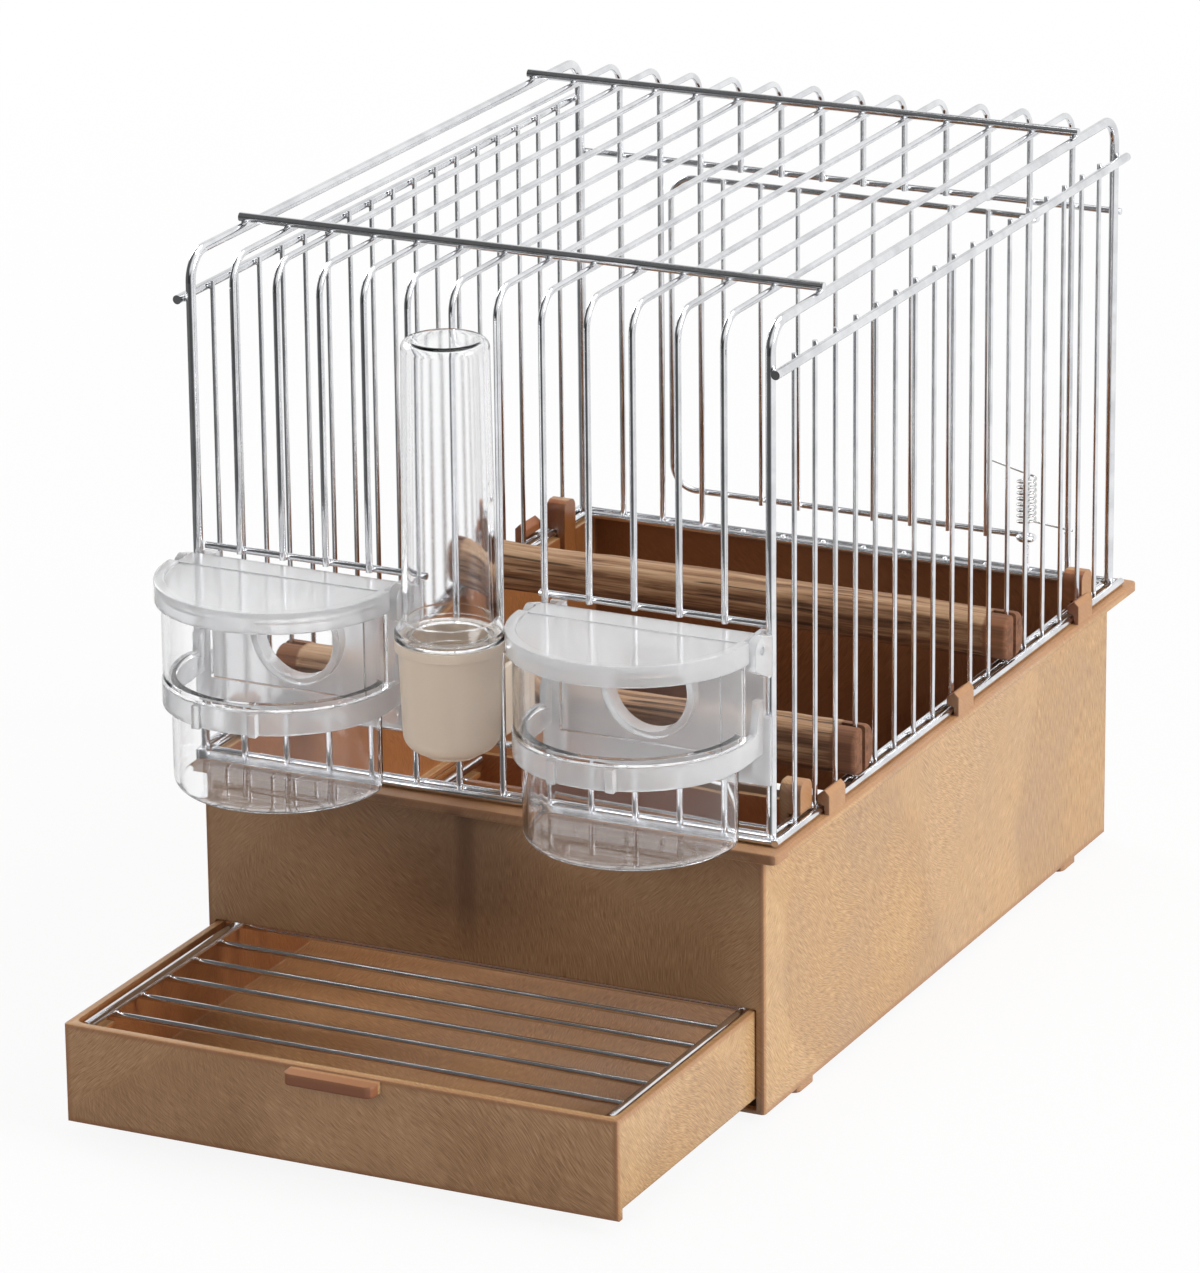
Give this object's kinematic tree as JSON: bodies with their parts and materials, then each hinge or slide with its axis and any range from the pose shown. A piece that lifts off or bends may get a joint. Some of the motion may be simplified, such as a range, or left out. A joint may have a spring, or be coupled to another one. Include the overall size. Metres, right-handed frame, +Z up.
{
  "type": "songbird display cage",
  "caption": "Small wire show cage for a songbird on a deep moulded base with a slide-out drawer, clear feeders, a tube drinker, perches and a sprung back door.",
  "frame": {"origin": "on the floor under the middle of the overall box, drawer standing part way out", "axes": "+X to the cage's right seen from the front, +Y from the drawer front towards the back, +Z up"},
  "size_m": [0.1866, 0.3468, 0.2306],
  "materials": {
    "plated_wire": "bright plated",
    "spring_wire": "bright",
    "fibre_plastic": "satin, wood-fibre filled",
    "perch_wood": "raw, weathered",
    "milky_plastic": "translucent",
    "clear_plastic": "clear",
    "beige_plastic": "satin"
  },
  "bodies": {
    "cage": {"base": "fibre_plastic", "corner_hoop_left": "plated_wire", "hoop_02": "plated_wire", "hoop_03": "plated_wire", "hoop_04": "plated_wire", "hoop_05": "plated_wire", "hoop_06": "plated_wire", "hoop_07": "plated_wire", "hoop_08": "plated_wire", "hoop_09": "plated_wire", "hoop_10": "plated_wire", "hoop_11": "plated_wire", "hoop_12": "plated_wire", "hoop_13": "plated_wire", "corner_hoop_right": "plated_wire", "front_stubs_left": "plated_wire", "front_stubs_right": "plated_wire", "front_cross_bar": "plated_wire", "rear_cross_bar": "plated_wire", "side_top_rail_left": "plated_wire", "side_top_rail_right": "plated_wire", "side_wires_left": "plated_wire", "side_wires_right": "plated_wire", "bottom_rails_front": "plated_wire", "bottom_rails_back": "plated_wire", "bottom_rails_left": "plated_wire", "bottom_rails_right": "plated_wire", "feeder_rail_left": "plated_wire", "feeder_rail_right": "plated_wire", "front_lower_rail": "plated_wire", "back_rail": "plated_wire", "feeder_holder_left": "milky_plastic", "feeder_holder_right": "milky_plastic", "feeder_bowl_left": "clear_plastic", "feeder_bowl_right": "clear_plastic", "drinker_cup": "beige_plastic"},
    "drawer": {"drawer_tray": "fibre_plastic", "grille_rails": "plated_wire", "grille_wires": "plated_wire"},
    "door": {"door_frame": "plated_wire", "door_bars": "plated_wire", "door_spring": "spring_wire"},
    "lid_left": {"feeder_lid_left": "milky_plastic"},
    "lid_right": {"feeder_lid_right": "milky_plastic"},
    "drinker_tube": {"drinker_tube": "clear_plastic"},
    "perch_front": {"perch_front": "perch_wood"},
    "perch_rear": {"perch_rear": "perch_wood"}
  },
  "joints": [
    {"name": "drawer_slide", "type": "slide", "parent": "cage", "child": "drawer", "axis": [0, -1, 0], "range_m": [-0.086, 0.11]},
    {"name": "door_hinge", "type": "hinge", "parent": "cage", "child": "door", "pos_m": [0.06075, 0.16445, 0.14275], "axis": [0, 0, -1], "range_deg": [0, 100], "stiffness_Nm_per_rad": 0.01, "springref_deg": -34.38, "deforming": ["door_spring"]},
    {"name": "lid_left_hinge", "type": "hinge", "parent": "cage", "child": "lid_left", "pos_m": [-0.054, -0.0875, 0.1386], "axis": [-1, 0, 0], "range_deg": [0, 90]},
    {"name": "lid_right_hinge", "type": "hinge", "parent": "cage", "child": "lid_right", "pos_m": [0.054, -0.0875, 0.1386], "axis": [-1, 0, 0], "range_deg": [0, 90]},
    {"name": "drinker_tube_lift", "type": "slide", "parent": "cage", "child": "drinker_tube", "axis": [0, 0, 1], "range_m": [0, 0.03]},
    {"name": "perch_front_lift", "type": "slide", "parent": "cage", "child": "perch_front", "axis": [0, 0, 1], "range_m": [0, 0.09]},
    {"name": "perch_rear_lift", "type": "slide", "parent": "cage", "child": "perch_rear", "axis": [0, 0, 1], "range_m": [0, 0.09]}
  ]
}
